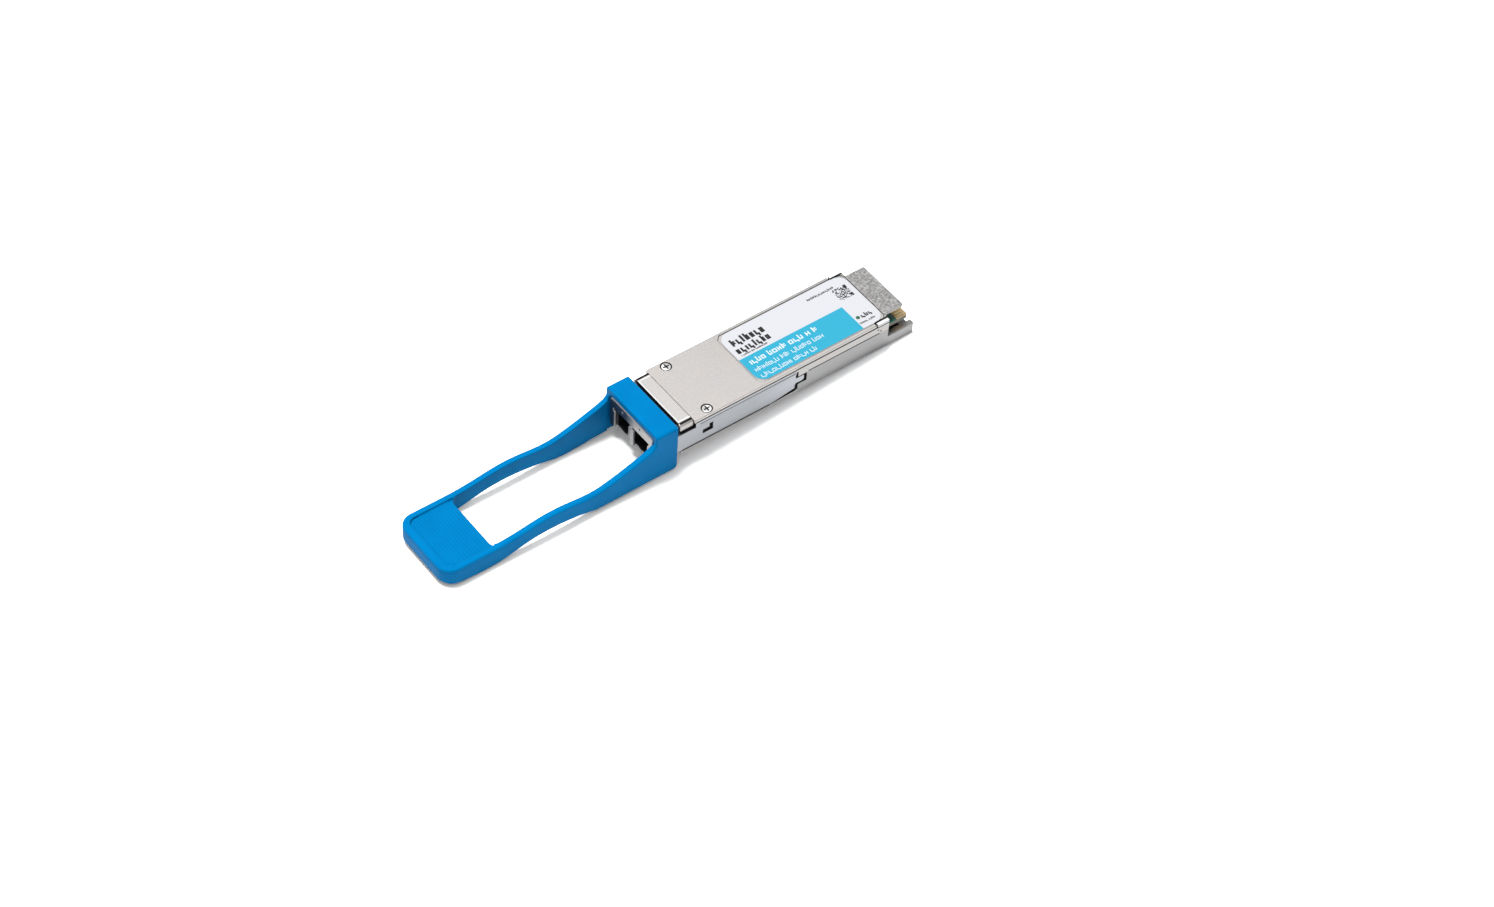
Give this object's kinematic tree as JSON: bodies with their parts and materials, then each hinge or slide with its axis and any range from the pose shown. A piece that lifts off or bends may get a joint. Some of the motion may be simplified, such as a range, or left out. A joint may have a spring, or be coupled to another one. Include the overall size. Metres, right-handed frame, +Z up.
{
  "type": "pluggable optical transceiver module",
  "caption": "Pluggable fibre-optic transceiver with a duplex fibre nose, an edge-card host connector, a metal housing and a sprung delatch slider with a moulded pull tab.",
  "frame": {"origin": "on the flat bottom face, on the centre line, at the front stop plane where the wide body meets the narrower nose", "axes": "+X along the module towards the host card edge, the pull tab is towards -X, +Z up out of the labelled cover, +Y to the left when looking towards the host"},
  "size_m": [0.1265, 0.0188, 0.0137],
  "materials": {
    "die_cast": "nickel-plated zinc die casting, fine satin grain",
    "cover_plate": "nickel-plated zinc die casting, fine satin grain",
    "screw_steel": "plated steel",
    "label_paper": "satin printed label film",
    "conductive_foam": "conductive elastomer",
    "black_resin": "black moulded resin",
    "turned_steel": "turned stainless steel",
    "zirconia": "polished zirconia",
    "gold_package": "gold-plated package",
    "thermal_pad": "soft thermal gap pad",
    "stamped_steel": "stamped stainless steel",
    "polyimide": "polyimide film circuit",
    "circuit_board": "glass-epoxy board with green solder mask",
    "gold_contacts": "gold-plated copper",
    "chip_black": "moulded epoxy chip body",
    "ferrite": "ferrite block",
    "capacitor_tan": "multilayer ceramic",
    "foam_pad": "elastomer pad",
    "absorber": "microwave absorber sheet",
    "blue_resin": "blue moulded elastomer, satin",
    "spring_steel": "spring wire"
  },
  "bodies": {
    "housing": {"base_housing": "die_cast", "top_cover": "cover_plate", "cover_screws": "screw_steel", "product_label": "label_paper", "cover_emi_gasket": "conductive_foam", "lc_receptacle": "black_resin", "tosa_barrel": "turned_steel", "tosa_ferrule_sleeve": "zirconia", "tosa_fiber_stub": "zirconia", "tosa_package": "gold_package", "tosa_lid": "gold_package", "tosa_thermal_pad": "thermal_pad", "rosa_barrel": "turned_steel", "rosa_ferrule_sleeve": "zirconia", "rosa_fiber_stub": "zirconia", "rosa_package": "gold_package", "rosa_lid": "gold_package", "rosa_thermal_pad": "thermal_pad", "barrel_emi_gasket": "conductive_foam", "osa_clamp": "stamped_steel", "tosa_rf_flex": "polyimide", "tosa_dc_flex": "polyimide", "rosa_flex": "polyimide", "main_pcb": "circuit_board", "edge_contacts": "gold_contacts", "tx_cdr_chip": "chip_black", "rx_cdr_chip": "chip_black", "cdr_thermal_pads": "thermal_pad", "microcontroller": "chip_black", "laser_driver": "chip_black", "tec_driver": "chip_black", "power_regulators": "chip_black", "power_inductors": "ferrite", "ceramic_capacitors": "capacitor_tan", "hold_down_pads": "foam_pad", "emi_absorber": "absorber", "return_spring_left": "spring_steel", "return_spring_right": "spring_steel"},
    "delatch_slider": {"slider_frame": "stamped_steel", "pull_tab": "blue_resin"}
  },
  "joints": [
    {"name": "delatch_slide", "type": "slide", "parent": "housing", "child": "delatch_slider", "axis": [-1, 0, 0], "range_m": [0, 0.0025], "stiffness_N_per_m": 500, "deforming": ["return_spring_left", "return_spring_right"]}
  ]
}
